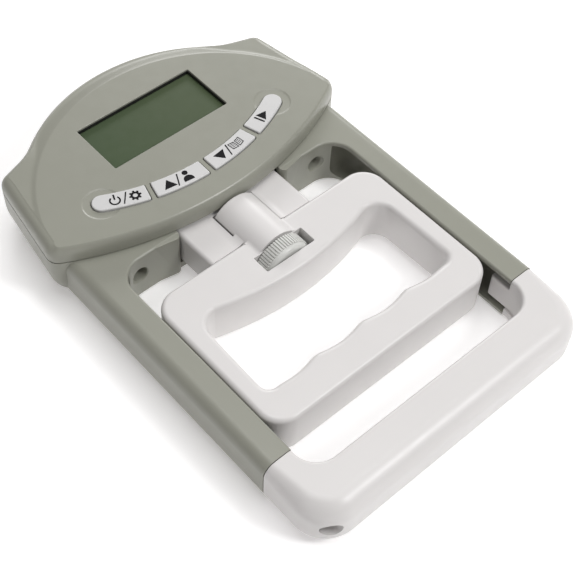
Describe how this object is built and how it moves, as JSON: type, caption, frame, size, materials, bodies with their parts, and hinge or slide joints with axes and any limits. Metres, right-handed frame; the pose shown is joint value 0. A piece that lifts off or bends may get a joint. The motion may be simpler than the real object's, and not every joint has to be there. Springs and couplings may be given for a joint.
{
  "type": "hand dynamometer",
  "caption": "Flat frame held against the palm, with a display head at one end and an inner finger handle that pulls on a load cell to measure grip strength.",
  "frame": {"origin": "middle of the flat back's bounding box, on the back plane", "axes": "+Y along the object towards the display head, +Z out of the display face, +X to the right seen from the front"},
  "size_m": [0.127, 0.1906, 0.0271],
  "materials": {
    "grey_plastic": "fine matt texture",
    "white_plastic": "satin",
    "key_plastic": "satin",
    "wheel_plastic": "satin, ribbed rim",
    "black_plastic": "matt",
    "display": "reflective display behind a clear polariser",
    "circuit_board": "solder mask",
    "silicone": "matt",
    "steel": "zinc plated",
    "brass": "turned",
    "aluminium": "machined",
    "gauge_foil": "foil on film",
    "battery_sleeve": "shrink sleeve, plain",
    "red_wire": "insulation",
    "black_wire": "insulation"
  },
  "bodies": {
    "root": {"rear_casing": "grey_plastic", "front_cover": "grey_plastic", "outer_handle": "white_plastic", "load_cell": "aluminium", "strain_gauge_front": "gauge_foil", "strain_gauge_back": "gauge_foil", "load_cell_screw_1": "steel", "load_cell_screw_2": "steel", "lcd_bezel": "black_plastic", "lcd_glass": "display", "lcd_connector": "silicone", "circuit_board": "circuit_board", "board_screw_1": "steel", "board_screw_2": "steel", "key_pad": "silicone", "battery_1": "battery_sleeve", "battery_2": "battery_sleeve", "battery_spring_1": "steel", "battery_contact_1": "steel", "battery_spring_2": "steel", "battery_contact_2": "steel", "case_screw_1": "steel", "case_screw_2": "steel", "case_screw_3": "steel", "case_screw_4": "steel", "wall_screw_left": "steel", "handle_screw_left": "steel", "wall_screw_right": "steel", "handle_screw_right": "steel", "battery_wire_red": "red_wire", "battery_wire_black": "black_wire", "gauge_wire": "black_wire"},
    "neck": {"neck_block": "white_plastic", "neck_nut": "brass", "pull_strap": "steel"},
    "grip": {"inner_handle": "white_plastic"},
    "wheel": {"adjusting_wheel": "wheel_plastic", "adjusting_screw": "steel"},
    "power_button": {"power_key": "key_plastic"},
    "up_button": {"up_key": "key_plastic"},
    "down_button": {"down_key": "key_plastic"},
    "start_button": {"start_key": "key_plastic"},
    "door": {"battery_door": "grey_plastic"}
  },
  "joints": [
    {"name": "squeeze_travel", "type": "slide", "parent": "root", "child": "neck", "axis": [0, -1, 0], "range_m": [0, 0.0005], "stiffness_N_per_m": 20000},
    {"name": "grip_span", "type": "slide", "parent": "neck", "child": "grip", "axis": [0, -1, 0], "range_m": [0, 0.014]},
    {"name": "wheel_turn", "type": "hinge", "parent": "grip", "child": "wheel", "pos_m": [0, -0.0096, 0.0122], "axis": [0, -1, 0], "range_deg": [0, 2520.1]},
    {"name": "power_press", "type": "slide", "parent": "root", "child": "power_button", "axis": [0, 0, -1], "range_m": [0, 0.0007], "stiffness_N_per_m": 1500},
    {"name": "up_press", "type": "slide", "parent": "root", "child": "up_button", "axis": [0, 0, -1], "range_m": [0, 0.0007], "stiffness_N_per_m": 1500},
    {"name": "down_press", "type": "slide", "parent": "root", "child": "down_button", "axis": [0, 0, -1], "range_m": [0, 0.0007], "stiffness_N_per_m": 1500},
    {"name": "start_press", "type": "slide", "parent": "root", "child": "start_button", "axis": [0, 0, -1], "range_m": [0, 0.0007], "stiffness_N_per_m": 1500},
    {"name": "door_release", "type": "slide", "parent": "root", "child": "door", "axis": [0, 0, -1], "range_m": [0, 0.012]}
  ],
  "couplings": [
    {"joint": "wheel_turn", "follows": "grip_span", "rad_per_m": 3141.6}
  ]
}
